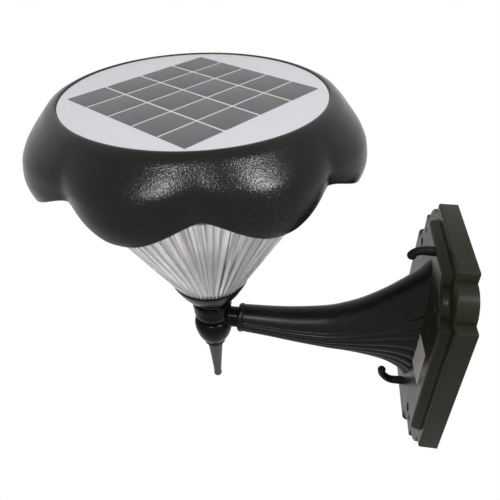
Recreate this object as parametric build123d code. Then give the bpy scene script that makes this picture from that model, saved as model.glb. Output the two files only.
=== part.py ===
from build123d import *
from math import cos, pi, radians, sin, sqrt
import os

# Solar fence light on a wall bracket, millimetres.
# Origin: centre of the wall plate's back face. +Y goes into the wall, -Y
# outwards along the arm, +Z up. The plate, arm and hooks are symmetric in X.
# Pieces of the lamp head are drawn about the lamp's upright axis with z = 0
# at the top of the solar panel, and "lamp" places them.

# ---------------------------------------------------------------- whole lamp
reach = 156.2              # wall to lamp axis
panel_height = 153.4       # plate centre to top of the solar panel
arm_height = -8.9          # plate centre to the axis of the arm's thin end
lamp = Pos(0, -reach, panel_height)

# ---------------------------------------------------------------- small screws
screw_shank = 1.5          # radius
screw_head = 2.9
screw_head_height = 1.8

# ---------------------------------------------------------------- wall plate
plate_width = 115.0
plate_height = 149.7
flange_depth = 11.7        # outer rim, front to back
field_step = 5.3           # raised field in front of the rim
field_inset = 8.0
plate_wall = 2.6
corner_size = 22.6         # ornament corner, measured along both edges
corner_notch = 6.9
field_corner_size = 21.5
field_corner_notch = 8.5
rim_bevel = 0.8
field_bevel = 1.4
wall_screw_x = 32.5        # half the spacing of the wall screws
wall_screw_z = 45.7
wall_screw_hole = 5.3
wall_boss = 11.0
arm_screw_x = 8.0
arm_screw_z = 19.0
face_depth = flange_depth + field_step

# ---------------------------------------------------------------- scroll hooks
hook_offset = 60.0         # from the hooks' middle height
hook_middle = 2.0
top_hook_reach = 12.0      # the upper hook only bends at its end
top_hook_rise = 4.0
low_hook_reach = 15.0      # the lower hook curls up to the arm
low_hook_rise = 9.4
hook_radius = 3.0
hook_neck_radius = 2.4     # just before the ball
hook_tip_radius = 2.9
hook_peg_radius = 2.2

# ---------------------------------------------------------------- arm
arm_tip = 133.2            # where the horn ends, from the wall
arm_tip_radius = 9.8
arm_wall = 2.6
arm_root_web = 3.0         # solid web against the plate
arm_hollow_end = 104.0     # the hollow stops here
root_half_width = 18.0
root_half_height = 51.0
root_centre = 4.0
reed_count = 8             # reeds on each lower side, between nine grooves
first_groove = 21.0        # degrees above the horn's middle
reed_step = 12.0           # degrees from groove to groove
groove_depth = 1.2
bead_radius = 10.3
bead_length = 4.4
neck_radius = 7.3
spigot_radius = 5.4
spigot_length = 15.0

# ---------------------------------------------------------------- hub, finial
collar_radius = 13.9
waist_radius = 11.0
waist_height = -163.0
ball_radius = 13.3
ball_height = -172.0
hub_bottom = -186.0
hub_foot_radius = 7.0
washer_thickness = 1.6
washer_radius = 7.6
finial_length = 40.6
finial_top_radius = 5.8
finial_neck_radius = 2.7
finial_tip_radius = 3.1
stud_radius = 3.0
stud_length = 17.0
stem_radius = 5.0
stem_length = 12.0
thread_clearance = 0.06

# ---------------------------------------------------------------- tray and its seal
tray_floor = -24.6
tray_thickness = 2.4
tray_under = tray_floor - tray_thickness
seal_thickness = 1.0
lens_top = tray_under - seal_thickness

# ---------------------------------------------------------------- lens and cup
lens_top_radius = 80.6
lens_bottom = -124.2
lens_bottom_radius = 25.7
lens_wall = 2.0
lens_flange = 2.5
lens_flange_width = 11.0
lens_neck = 4.0
lens_neck_radius = 22.0
rib_count = 64
rib_depth = 0.7
cup_bottom = -144.6
cup_foot_radius = 13.2
cup_wall = 2.4
head_washer_thickness = 1.4
head_washer_radius = 12.0
collar_top = cup_bottom - head_washer_thickness

# ---------------------------------------------------------------- shade cap
petal_count = 8
valley_angle = 14.07       # first valley, from +X
disc_radius = 70.0         # the white panel disc
rim_width = 2.0
fit_gap = 0.3
cap_wall = 2.2
valley_edge = -27.1        # cap's lower edge in a valley
petal_edge = -37.4         # and at a petal's middle
edge_power = 0.94          # under 1 widens the petals, over 1 the valleys
valley_round = 0.1         # how soft the bottom of a valley is
# level below the panel, radius at a petal's middle, depth of the valley there
cap_levels = [
    (0.0, 73.6, 0.0), (-2.0, 76.4, 0.5), (-5.0, 79.4, 1.0), (-9.0, 83.6, 1.8), (-14.0, 88.2, 3.6), (-20.0, 91.3, 5.6),
    (-28.0, 92.5, 7.6), (-35.0, 91.4, 7.9), (-39.5, 86.6, 8.0),
]
ledge_radius = 59.5        # opening below the panel
ledge_drop = 3.4           # panel top to ledge
ledge_thickness = 3.8

# ---------------------------------------------------------------- solar panel
board_thickness = 2.0
film_thickness = 0.65
cell_thickness = 0.25
cell_columns = 4
cell_rows = 5
array_length = 94.2
array_width = 89.2
column_gap = 0.9
row_gap = 0.6
array_angle = 146.7
array_offset = (1.9, 0.2)
tab_width = 3.0            # solder tab at the end of the first ribbon
tab_length = 2.6
cell_size_u = (array_length - column_gap * (cell_columns - 1)) / cell_columns
cell_size_v = (array_width - row_gap * (cell_rows - 1)) / cell_rows

# ---------------------------------------------------------------- tray, inside
tray_radius = 79.8
tray_wall_top = -15.0
post_circle = 64.2
post_radius = 4.0
post_count = 4
battery_radius = 9.25
battery_length = 65.0
battery_y = 24.0
holder_wall = 1.6
control_length = 58.0
control_width = 34.0
pcb_thickness = 1.6
standoff_height = 4.0
led_board_radius = 46.0
led_circle = 33.0
led_count = 12
button_angle = valley_angle + (3.5 * 360 / petal_count)
button_circle = 84.4
button_radius = 2.6
button_ear = 4.9           # radius of the tray's ear round the button
button_bay = 8.6           # radius of the bay in the tray's wall round the button
button_travel = 1.0


def tube(outer, inner, low, high):
    """Ring about the z axis."""
    height = high - low
    solid = Cylinder(outer, height) - Cylinder(inner, height * 2)
    return Pos(0, 0, low + height / 2) * solid


def rod(radius, low, high, x=0.0, y=0.0):
    """Upright cylinder between two heights."""
    return Pos(x, y, (low + high) / 2) * Cylinder(radius, high - low)


def wall_rod(radius, front, back, x=0.0, z=0.0):
    """Cylinder along Y, from depth front to depth back in front of the wall."""
    length = front - back
    return Pos(x, -(front + back) / 2, z) * Rot(90, 0, 0) * Cylinder(radius, length)


def around(count, radius, first=0.0):
    """Places on a circle about the lamp axis."""
    for k in range(count):
        angle = radians(first + 360 * k / count)
        yield radius * cos(angle), radius * sin(angle)


def as_group(solids):
    """Identical pieces kept as separate solids of one node."""
    return Compound(children=list(solids))


# ---------------------------------------------------------------- wall plate
def notched_outline(width, height, size, notch):
    """Rectangle whose corners are a step, a quarter round and a step."""
    w, h = width / 2, height / 2
    radius = size - notch
    corner = [
        Line((w, h - size), (w - notch, h - size)),
        CenterArc((w - size, h - size), radius, 0, 90),
        Line((w - size, h - notch), (w - size, h)),
    ]
    edges = Curve() + corner
    half = edges + mirror(edges, Plane.YZ) + Line((w - size, h), (size - w, h))
    sides = Line((w, h - size), (w, size - h)) + Line((-w, h - size), (-w, size - h))
    return make_face((half + mirror(half, Plane.XZ) + sides).edges())


def plate_slab(face, depth):
    """Outline drawn on X and Z, as a slab that stands out from the wall."""
    return Rot(90, 0, 0) * extrude(face, depth)


def bevelled_slab(face, depth, bevel):
    """Slab with a bevel along its front edges."""
    slab = plate_slab(face, depth)
    return chamfer(slab.faces().sort_by(Axis.Y)[0].outer_wire().edges(), bevel)


def wall_screw_places():
    return [(sx * wall_screw_x, sz * wall_screw_z) for sx in (-1, 1) for sz in (-1, 1)]


def arm_screw_places():
    return [(sx * arm_screw_x, root_centre + sz * arm_screw_z) for sx in (-1, 1) for sz in (-1, 1)]


def make_wall_plate():
    field_width = plate_width - 2 * field_inset
    field_height = plate_height - 2 * field_inset
    rim = notched_outline(plate_width, plate_height, corner_size, corner_notch)
    field = notched_outline(field_width, field_height, field_corner_size, field_corner_notch)
    hollow = notched_outline(
        field_width - 2 * plate_wall, field_height - 2 * plate_wall, field_corner_size, field_corner_notch
    )
    plate = bevelled_slab(rim, flange_depth, rim_bevel) + bevelled_slab(field, face_depth, field_bevel)
    plate -= plate_slab(hollow, face_depth - plate_wall)
    for x, z in wall_screw_places():
        plate += wall_rod(wall_boss / 2, face_depth - plate_wall / 2, 0, x, z)
        plate -= wall_rod(wall_screw_hole / 2, face_depth * 2, -1, x, z)
    for x, z in arm_screw_places():
        plate -= wall_rod(screw_shank + fit_gap, face_depth * 2, 0, x, z)
    for side in (-1, 1):
        plate -= wall_rod(hook_peg_radius, face_depth * 2, 0, 0, hook_middle + side * hook_offset)
    return plate


# ---------------------------------------------------------------- scroll hooks
def make_hook(side, reach, rise):
    """Scroll that stands out of the plate and curls towards the arm, with a ball at its end."""
    root = hook_middle + side * hook_offset
    turn = -side * rise
    bends = [(0, 0), (0.61, 0.07), (0.92, 0.52), (1, 1)]
    path = Spline(
        [(0, -face_depth - out * reach, root + up * turn) for out, up in bends],
        tangents=[(0, -1, 0), (0, 0.1, -side)],
    )
    start = Plane(path @ 0, x_dir=(1, 0, 0), z_dir=path % 0)
    end = Plane(path @ 1, x_dir=(1, 0, 0), z_dir=path % 1)
    scroll = sweep([start * Circle(hook_radius), end * Circle(hook_neck_radius)], path, multisection=True)
    scroll += Pos(*(path @ 1)) * Sphere(hook_tip_radius)
    peg = wall_rod(hook_peg_radius, face_depth + 1, face_depth - plate_wall, 0, root)
    return scroll + peg


# ---------------------------------------------------------------- arm
# distance from the wall, centre height, half width, half height
arm_stations = [
    (face_depth, root_centre, root_half_width, root_half_height),
    (23.0, 2.6, 17.0, 42.6), (31.0, 0.8, 16.2, 35.4), (43.0, -2.6, 15.4, 27.6),
    (58.0, -6.4, 14.4, 20.8), (77.0, -9.5, 13.4, 15.8), (98.0, -10.1, 12.0, 12.7),
    (118.0, -9.5, 10.6, 10.7), (arm_tip, arm_height, arm_tip_radius, arm_tip_radius),
]


def groove(angle):
    """1 at the bottom of a groove, 0 on a reed and on the smooth top and keel."""
    side = angle if abs(angle) <= 90 else (180 - abs(angle)) * (1 if angle > 0 else -1)
    count = (first_groove - side) / reed_step
    if not -0.5 < count < reed_count + 0.5:
        return 0.0
    return 1 - abs(sin(pi * count))


def arm_section(station, inset, reeded):
    depth, centre, half_width, half_height = station
    grow = (half_height - arm_tip_radius) / (root_half_height - arm_tip_radius)
    carve = groove_depth * (0.1 + 0.9 * sqrt(grow)) if reeded else 0.0
    points = []
    step = 3 if reeded else 15
    for angle in range(-180, 180, step):
        a = radians(angle)
        cut = inset + carve * groove(angle)
        points.append(((half_width - cut) * cos(a), -depth, centre + (half_height - cut) * sin(a)))
    return Wire([Edge.make_spline([Vector(*p) for p in points], periodic=True)])


def make_arm():
    horn = Solid.make_loft([arm_section(s, 0, True) for s in arm_stations])
    hollow_stations = [s for s in arm_stations if s[0] < arm_hollow_end]
    hollow = Solid.make_loft([arm_section(s, arm_wall, False) for s in hollow_stations])
    hollow -= Pos(0, -face_depth - arm_root_web / 2, 0) * Box(100, arm_root_web, 150)
    arm = horn - hollow
    bead = wall_rod(bead_radius, arm_tip + bead_length, arm_tip, 0, arm_height)
    arm += fillet(bead.edges().filter_by(GeomType.CIRCLE), bead_length * 0.42)
    for x, z in arm_screw_places():
        arm += wall_rod(3.4, face_depth + 14, face_depth, x, z)
        arm -= wall_rod(screw_shank, face_depth + 12, face_depth - 1, x, z)
    arm -= wall_rod(spigot_radius, arm_tip + bead_length + 1, arm_tip + bead_length - spigot_length, 0, arm_height)
    return arm


# ---------------------------------------------------------------- fasteners
def screw(length):
    """Pan head screw: head on top, shank down, a cross recess in the head."""
    body = rod(screw_head, 0, screw_head_height) + rod(screw_shank, -length, 0)
    top = body.faces().sort_by(Axis.Z)[-1].edges()
    body = fillet(top, screw_head_height * 0.45)
    for turn in (0, 90):
        body -= Pos(0, 0, screw_head_height) * Rot(0, 0, turn) * Box(3.2, 0.8, 1.6)
    return body


# ---------------------------------------------------------------- hub, finial
def make_hub():
    """Collar, waist and ball turned in one, with the side neck to the arm."""
    top, ball = collar_top, ball_height
    profile = make_face([
        Polyline((0, top), (collar_radius - 1.2, top)),
        Spline((collar_radius - 1.2, top), (collar_radius, top - 2.2), (collar_radius - 0.6, top - 8.0),
               (waist_radius, waist_height), tangents=[(1, 0), (-0.4, -1)]),
        Spline((waist_radius, waist_height), (ball_radius, ball), (ball_radius - 2.6, ball - 8.5),
               (hub_foot_radius, hub_bottom), tangents=[(1, -0.5), (-0.8, -1)]),
        Polyline((hub_foot_radius, hub_bottom), (0, hub_bottom), (0, top)),
    ])
    body = revolve(Plane.XZ * profile, Axis.Z)
    neck_z = arm_height - panel_height
    bead_face = reach - arm_tip - bead_length
    neck = Pos(0, bead_face / 2, neck_z) * Rot(90, 0, 0) * Cylinder(neck_radius, bead_face)
    spigot_end = bead_face + spigot_length - 0.5
    spigot = Pos(0, spigot_end / 2, neck_z) * Rot(90, 0, 0) * Cylinder(spigot_radius - 0.05, spigot_end)
    body += neck + spigot
    body -= rod(stem_radius + thread_clearance, top - stem_length - 0.6, top + 1)
    return body - rod(stud_radius + thread_clearance, hub_bottom - 1, hub_bottom + stud_length + 0.6)


def make_finial():
    top = hub_bottom - washer_thickness
    tip = top - finial_length
    ball = tip + finial_tip_radius
    profile = make_face([
        Polyline((0, top), (finial_top_radius, top)),
        Spline((finial_top_radius, top), (finial_top_radius - 1.5, top - 16), (finial_neck_radius, ball + 1.0)),
        Polyline((finial_neck_radius, ball + 1.0), (0, ball + 1.0), (0, top)),
    ])
    body = revolve(Plane.XZ * profile, Axis.Z) + Pos(0, 0, ball) * Sphere(finial_tip_radius)
    return body + rod(stud_radius, top, top + washer_thickness + stud_length)


def make_cup():
    """Bowl under the lens that carries it on the stem."""
    top = lens_bottom
    outer = make_face([
        Polyline((0, top), (lens_bottom_radius, top), (lens_bottom_radius, top - 1.6)),
        Spline((lens_bottom_radius, top - 1.6), (lens_bottom_radius - 7.2, top - 14.2), (cup_foot_radius, cup_bottom)),
        Polyline((cup_foot_radius, cup_bottom), (0, cup_bottom), (0, top)),
    ])
    body = revolve(Plane.XZ * outer, Axis.Z)
    body -= rod(lens_neck_radius + 0.1, top - lens_neck - fit_gap, top + 1)
    well_top = lens_bottom - lens_neck
    body -= Pos(0, 0, (well_top + cup_bottom + cup_wall) / 2) * Cone(
        cup_foot_radius - 1.6, lens_neck_radius - 1.8, well_top - cup_bottom - cup_wall
    )
    return body - rod(stem_radius, cup_bottom - 1, cup_bottom + cup_wall + 1)


# ---------------------------------------------------------------- lens
def ribbed_ring(radius, height, depth):
    """Zigzag outline with one tooth for each rib of the lens."""
    points = []
    for k in range(2 * rib_count):
        angle = pi * k / rib_count
        r = radius - (depth if k % 2 else 0)
        points.append((r * cos(angle), r * sin(angle), height))
    return Wire.make_polygon([Vector(*p) for p in points], close=True)


def make_lens():
    cone_top = lens_top - lens_flange
    outer = Solid.make_loft(
        [ribbed_ring(lens_bottom_radius, lens_bottom, rib_depth * 0.5),
         ribbed_ring(lens_top_radius - 0.4, cone_top, rib_depth)], ruled=True
    )
    inner = Pos(0, 0, (cone_top + lens_bottom) / 2) * Cone(
        lens_bottom_radius - lens_wall - rib_depth, lens_top_radius - lens_wall - rib_depth, cone_top - lens_bottom
    )
    flange = tube(lens_top_radius, lens_top_radius - lens_flange_width, cone_top, lens_top)
    neck = tube(lens_neck_radius, lens_neck_radius - 1.8, lens_bottom - lens_neck, lens_bottom + 1.5)
    lip = tube(lens_bottom_radius - lens_wall, lens_neck_radius - 1.8, lens_bottom, lens_bottom + 1.5)
    lens = outer - inner + flange + neck + lip
    for x, y in around(post_count, lens_screw_circle, valley_angle):
        lens -= rod(screw_shank, cone_top - 1, lens_top + 1, x, y)
    return lens


# ---------------------------------------------------------------- shade cap
def lobe(angle):
    """0 in a valley, 1 in the middle of a petal, rounded in the valley."""
    wave = sin((angle - radians(valley_angle)) * petal_count / 2)
    return (sqrt(wave * wave + valley_round ** 2) - valley_round) / (sqrt(1 + valley_round ** 2) - valley_round)


def edge_height(away):
    """Lower edge of the cap, from 0 in a valley to 1 at a petal's middle."""
    step = abs(away) ** edge_power
    return valley_edge + (petal_edge - valley_edge) * step * step * (3 - 2 * step)


def cap_ring(level, inset):
    height, radius, valley = level
    points = []
    count = petal_count * 10
    for k in range(count):
        angle = radians(valley_angle) + 2 * pi * k / count
        r = radius - valley * (1 - lobe(angle)) - inset
        points.append(Vector(r * cos(angle), r * sin(angle), height))
    return Wire([Edge.make_spline(points, periodic=True)])


def valley_arch():
    """Prism that cuts the lower edge of the cap away under one valley."""
    half = max(level[1] for level in cap_levels)
    low = petal_edge - 8
    shares = [k / 6 for k in range(-6, 7)]
    points = [(half * sin(share * pi / petal_count), edge_height(share)) for share in shares]
    edge = Spline(points, tangents=[(1, 0), (1, 0)])
    close = Polyline(points[-1], (points[-1][0], low), (points[0][0], low), points[0])
    return extrude(Plane.YZ * make_face([edge, close]), 60)


def make_cap():
    outer = Solid.make_loft([cap_ring(level, 0) for level in cap_levels])
    first, last = cap_levels[1], cap_levels[-1]
    inside = [(-cap_wall, *first[1:])] + cap_levels[2:-1] + [(last[0] - 1.0, *last[1:])]
    inner = Solid.make_loft([cap_ring(level, cap_wall) for level in inside])
    cap = outer - inner
    arch = Pos(60, 0, 0) * valley_arch()
    for k in range(petal_count):
        cap -= Rot(0, 0, valley_angle + 360 * k / petal_count) * arch
    opening = disc_radius + fit_gap
    cap -= rod(opening, -ledge_drop - 10, 1)
    cap += tube(opening + rim_width, opening, -ledge_drop - ledge_thickness, 0)
    cap += tube(opening + rim_width, ledge_radius, -ledge_drop - ledge_thickness, -ledge_drop)
    for x, y in around(post_count, post_circle, valley_angle + 45):
        cap -= rod(screw_shank + fit_gap, -ledge_drop - 5, 0, x, y)
        cap -= rod(screw_head + fit_gap, -ledge_drop - screw_head_height, 0, x, y)
    return cap


# ---------------------------------------------------------------- solar panel
def array_place(u, v):
    """A place on the cell array, in the lamp's own X and Y."""
    turn = radians(array_angle)
    return (array_offset[0] + u * cos(turn) - v * sin(turn), array_offset[1] + u * sin(turn) + v * cos(turn))


def cell_centres():
    for i in range(cell_columns):
        for j in range(cell_rows):
            u = (i - (cell_columns - 1) / 2) * (cell_size_u + column_gap)
            v = (j - (cell_rows - 1) / 2) * (cell_size_v + row_gap)
            yield u, v


def on_panel(u, v, length, width, low, high):
    x, y = array_place(u, v)
    return Pos(x, y, (low + high) / 2) * Rot(0, 0, array_angle) * Box(length, width, high - low)


def cells():
    top = -film_thickness + cell_thickness
    return [on_panel(u, v, cell_size_u, cell_size_v, -film_thickness, top) for u, v in cell_centres()]


def ribbons():
    """Flat strips in the gaps between the columns, and the solder tab at the end of the first."""
    top = -film_thickness + cell_thickness
    step = cell_size_u + column_gap
    strips = [on_panel(k * step, 0, column_gap, array_width, -film_thickness, top) for k in (-1, 0, 1)]
    tab_v = -(array_width + tab_length) / 2
    return strips + [on_panel(-step, tab_v, tab_width, tab_length, -film_thickness, top)]


# ---------------------------------------------------------------- tray
lens_screw_circle = lens_top_radius - lens_flange_width + 3.4


def button_place():
    angle = radians(button_angle)
    return button_circle * cos(angle), button_circle * sin(angle)


def control_posts():
    for sx in (-1, 1):
        for sy in (-1, 1):
            yield sx * (control_length / 2 - 3.5), -battery_y + sy * (control_width / 2 - 3.5)


def led_screw_places():
    return list(around(3, led_board_radius - 5, 90))


def make_tray():
    """Dish that closes the cap from below and carries what is inside."""
    tray = rod(tray_radius, tray_under, tray_floor)
    tray += tube(tray_radius, tray_radius - 2.0, tray_under, tray_wall_top)
    ear_x, ear_y = button_place()
    tray += rod(button_ear, tray_under, tray_floor, ear_x, ear_y)
    tray -= rod(button_bay, tray_floor, tray_wall_top + 1, ear_x, ear_y)
    ledge_under = -ledge_drop - ledge_thickness
    for x, y in around(post_count, post_circle, valley_angle + 45):
        tray += rod(post_radius, tray_floor - 0.5, ledge_under, x, y)
        tray -= rod(screw_shank, ledge_under - 10, ledge_under + 1, x, y)
    for x, y in control_posts():
        tray += rod(3.0, tray_floor - 0.5, tray_floor + standoff_height, x, y)
        tray -= rod(screw_shank, tray_floor + 0.5, tray_floor + standoff_height + 1, x, y)
    for x, y in around(post_count, lens_screw_circle, valley_angle):
        tray -= rod(screw_shank + fit_gap, tray_under - 1, tray_floor + 1, x, y)
    for x, y in led_screw_places():
        tray += rod(3.0, tray_floor - 0.5, tray_floor + 3.0, x, y)
        tray -= rod(screw_shank, tray_under - 1, tray_floor + 2.2, x, y)
    tray -= rod(2.5, tray_under - 1, tray_floor + 1)
    return tray - rod(button_radius + 0.2, tray_under - 1, tray_floor + 1, ear_x, ear_y)


def make_battery_holder():
    """Open cradle with two end walls for one round cell."""
    length = battery_length + 2 * holder_wall + 4.0
    width = 2 * battery_radius + 2 * holder_wall + 0.4
    height = battery_radius + holder_wall + 2.0
    block = Pos(0, battery_y, tray_floor + height / 2) * Box(length, width, height)
    axis_z = tray_floor + holder_wall + battery_radius + 0.2
    well = Pos(0, battery_y, axis_z) * Rot(0, 90, 0) * Cylinder(battery_radius + 0.2, battery_length + 4.0)
    mouth = Pos(0, battery_y, axis_z + 10) * Box(battery_length + 4.0, 2 * battery_radius + 0.4, 20)
    return block - well - mouth


def make_battery():
    axis_z = tray_floor + holder_wall + battery_radius + 0.2
    can = Rot(0, 90, 0) * Cylinder(battery_radius, battery_length - 1.5)
    button = Pos((battery_length - 1.5) / 2 + 0.7, 0, 0) * Rot(0, 90, 0) * Cylinder(3.0, 1.4)
    return Pos(0, battery_y, axis_z) * (can + button)


def make_battery_contacts():
    """Spring plates at both ends of the holder."""
    axis_z = tray_floor + holder_wall + battery_radius + 0.2
    plates = []
    for side, face in ((-1, (battery_length - 1.5) / 2), (1, (battery_length - 1.5) / 2 + 1.4)):
        wall = (battery_length + 4.0) / 2
        middle = side * (face + wall) / 2
        plates.append(Pos(middle, battery_y, axis_z) * Box(wall - face, 9, 9))
    return plates


def make_control_board():
    low = tray_floor + standoff_height
    board = Pos(0, -battery_y, low + pcb_thickness / 2) * Box(control_length, control_width, pcb_thickness)
    for x, y in control_posts():
        board -= rod(screw_shank + fit_gap, low - 1, low + pcb_thickness + 1, x, y)
    return board


def make_board_parts():
    """Chips, coil, capacitor and connectors on the control board."""
    top = tray_floor + standoff_height + pcb_thickness
    sizes = [(-12, 4, 9, 7, 1.6), (2, 5, 6, 6, 3.2), (14, -6, 7, 7, 4.0), (-4, -9, 5, 4, 1.2)]
    parts = [Pos(x, y - battery_y, top + h / 2) * Box(l, w, h) for x, y, l, w, h in sizes]
    parts.append(rod(3.2, top, top + 8.0, 20, -battery_y + 6))
    parts.append(Pos(-20, 1 - battery_y, top + 2.5) * Box(6, 9, 5))
    return parts


def make_led_board():
    board = rod(led_board_radius, tray_under - pcb_thickness, tray_under)
    for x, y in led_screw_places():
        board -= rod(screw_shank + fit_gap, tray_under - 3, tray_under + 1, x, y)
    return board


def make_leds():
    low = tray_under - pcb_thickness - 1.4
    return [Pos(x, y, low + 0.7) * Box(3.5, 2.8, 1.4) for x, y in around(led_count, led_circle)]


def make_button():
    """Round push button with a stop flange above the tray floor."""
    x, y = button_place()
    pad = rod(button_radius, tray_under - 2.4, tray_floor + 0.2, x, y)
    flange = rod(button_radius + 1.4, tray_floor + 0.1, tray_floor + 1.0, x, y)
    return pad + flange


def make_switch():
    """Push switch above the button: case with the plunger's bore."""
    x, y = button_place()
    low = tray_floor + 1.0 + button_travel + 0.3
    case = Pos(x, y, low + 2.2) * Rot(0, 0, button_angle) * Box(6.4, 6.4, 4.4)
    return case - rod(1.6, low - 1, low + 3.0, x, y)


def make_plunger():
    x, y = button_place()
    low = tray_floor + 1.0
    return rod(1.5, low, low + 2.6, x, y)


def make_switch_bracket():
    """Post and shelf on the tray that hold the push switch."""
    angle = radians(button_angle)
    low = tray_floor + 1.0 + button_travel + 0.3 + 4.4
    post = Pos(button_circle - 10.0, 0, (tray_floor + low + 1.6) / 2) * Box(3.0, 8.0, low + 1.6 - tray_floor)
    shelf = Pos(button_circle - 4.9, 0, low + 0.8) * Box(13.2, 8.0, 1.6)
    return Rot(0, 0, button_angle) * (post + shelf)


# ---------------------------------------------------------------- all nodes
def build_nodes():
    nodes = {}
    # wall bracket
    nodes["wall_plate"] = make_wall_plate()
    nodes["scroll_hook_top"] = make_hook(1, top_hook_reach, top_hook_rise)
    nodes["scroll_hook_bottom"] = make_hook(-1, low_hook_reach, low_hook_rise)
    nodes["arm"] = make_arm()
    nodes["arm_screws"] = as_group(
        Pos(x, plate_wall - face_depth, z) * Rot(-90, 0, 0) * screw(plate_wall + 10) for x, z in arm_screw_places()
    )
    nodes["hub"] = lamp * make_hub()
    # finial and its washer
    top = hub_bottom
    nodes["finial_washer"] = lamp * tube(washer_radius, stud_radius + thread_clearance, top - washer_thickness, top)
    nodes["finial"] = lamp * make_finial()
    # head: washer, stem, cup, lens
    nodes["head_washer"] = lamp * tube(head_washer_radius, stem_radius + thread_clearance, collar_top, cup_bottom)
    stem_top = cup_bottom + cup_wall + 7.0
    nodes["stem"] = lamp * tube(stem_radius, 2.6, collar_top - stem_length, stem_top)
    hexagon = extrude(RegularPolygon(8.0, 6), 5.0) - Cylinder(stem_radius, 30)
    nodes["stem_nut"] = lamp * Pos(0, 0, cup_bottom + cup_wall) * hexagon
    nodes["lens_cup"] = lamp * make_cup()
    nodes["lens"] = lamp * make_lens()
    seal_inner = lens_screw_circle + screw_head + 0.6
    nodes["lens_seal"] = lamp * tube(lens_top_radius - 0.6, seal_inner, lens_top, tray_under)
    nodes["lens_screws"] = as_group(
        lamp * Pos(x, y, tray_floor) * screw(5.4) for x, y in around(post_count, lens_screw_circle, valley_angle)
    )
    # cap and tray
    nodes["shade_cap"] = lamp * make_cap()
    nodes["tray"] = lamp * make_tray()
    nodes["tray_screws"] = as_group(
        lamp * Pos(x, y, -ledge_drop - screw_head_height) * screw(8.0)
        for x, y in around(post_count, post_circle, valley_angle + 45)
    )
    # solar panel
    board_top = -film_thickness
    board_low = board_top - board_thickness
    board = rod(disc_radius, board_low, board_top)
    film = rod(disc_radius - 0.4, board_top, 0)
    for piece in cells() + ribbons():
        film -= piece
    nodes["panel_board"] = lamp * board
    nodes["panel_film"] = lamp * film
    nodes["solar_cells"] = as_group(lamp * cell for cell in cells())
    nodes["cell_ribbons"] = as_group(lamp * strip for strip in ribbons())
    gasket_inner = post_circle + screw_head + 2 * fit_gap
    nodes["panel_gasket"] = lamp * tube(disc_radius - fit_gap, gasket_inner, -ledge_drop, board_low)
    # inside
    nodes["battery_holder"] = lamp * make_battery_holder()
    nodes["battery"] = lamp * make_battery()
    nodes["battery_contacts"] = as_group(lamp * plate for plate in make_battery_contacts())
    nodes["control_board"] = lamp * make_control_board()
    nodes["board_parts"] = as_group(lamp * piece for piece in make_board_parts())
    board_screw_z = tray_floor + standoff_height + pcb_thickness
    nodes["board_screws"] = as_group(lamp * Pos(x, y, board_screw_z) * screw(5.0) for x, y in control_posts())
    nodes["led_board"] = lamp * make_led_board()
    nodes["leds"] = as_group(lamp * led for led in make_leds())
    nodes["led_screws"] = as_group(
        lamp * Pos(x, y, tray_under - pcb_thickness) * Rot(180, 0, 0) * screw(5.4) for x, y in led_screw_places()
    )
    nodes["switch_bracket"] = lamp * make_switch_bracket()
    nodes["push_switch"] = lamp * make_switch()
    nodes["switch_plunger"] = lamp * make_plunger()
    nodes["power_button"] = lamp * make_button()
    return nodes


def main():
    os.makedirs("parts", exist_ok=True)
    for name, shape in build_nodes().items():
        shape.label = name
        export_step(shape, f"parts/{name}.step")


if __name__ == "__main__":
    main()
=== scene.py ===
# %% [markdown]
# # A solar fence light, dressed for a picture
#
# The object is a wall lamp: a petal shaped black cap with a solar panel in its top, a clear ribbed cone below it, a
# turned hub with a finial, and a horn shaped arm on a notched wall plate. The engineering model already holds every
# piece at its real size. This lesson gives the pieces that show a smooth mesh and every piece a finish.
#
# All lengths in Blender are metres. Small sizes are easier to read in millimetres, so `MM` turns one into the
# other.

import math

import bmesh
import bpy
from mathutils import Matrix, Vector


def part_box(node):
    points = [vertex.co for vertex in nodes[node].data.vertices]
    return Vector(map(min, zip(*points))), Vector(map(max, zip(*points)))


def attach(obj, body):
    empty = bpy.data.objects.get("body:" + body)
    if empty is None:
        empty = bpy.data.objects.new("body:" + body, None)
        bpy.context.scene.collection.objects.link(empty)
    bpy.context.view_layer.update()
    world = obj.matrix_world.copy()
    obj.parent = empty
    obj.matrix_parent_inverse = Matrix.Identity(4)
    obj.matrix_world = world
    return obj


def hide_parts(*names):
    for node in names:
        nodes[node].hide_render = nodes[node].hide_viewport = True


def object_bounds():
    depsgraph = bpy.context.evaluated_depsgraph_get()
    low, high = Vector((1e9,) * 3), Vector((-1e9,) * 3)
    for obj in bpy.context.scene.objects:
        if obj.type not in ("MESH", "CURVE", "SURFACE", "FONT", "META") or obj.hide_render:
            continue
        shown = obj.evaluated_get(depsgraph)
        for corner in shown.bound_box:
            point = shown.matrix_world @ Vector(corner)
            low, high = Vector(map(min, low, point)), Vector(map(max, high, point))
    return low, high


MM = 0.001
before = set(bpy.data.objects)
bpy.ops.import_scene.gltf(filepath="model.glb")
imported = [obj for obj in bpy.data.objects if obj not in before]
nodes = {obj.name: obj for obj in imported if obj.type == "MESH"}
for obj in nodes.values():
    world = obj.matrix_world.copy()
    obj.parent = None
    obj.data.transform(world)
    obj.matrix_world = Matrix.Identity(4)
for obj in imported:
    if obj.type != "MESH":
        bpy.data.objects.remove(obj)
cad_low, cad_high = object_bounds()
print("nodes in the frame:", len(nodes))

# %% [markdown]
# ## Where things are
#
# The lamp head turns about an upright axis. The stem lies on that axis, so its box gives the place of the axis. The
# top of the panel film is the head's reference height, as on the real lamp, where the panel is the first thing you
# lay flat.

# %% Read the main places from the frame
def middle(node):
    """Centre of a node's box."""
    low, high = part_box(node)
    return (low + high) / 2


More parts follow.
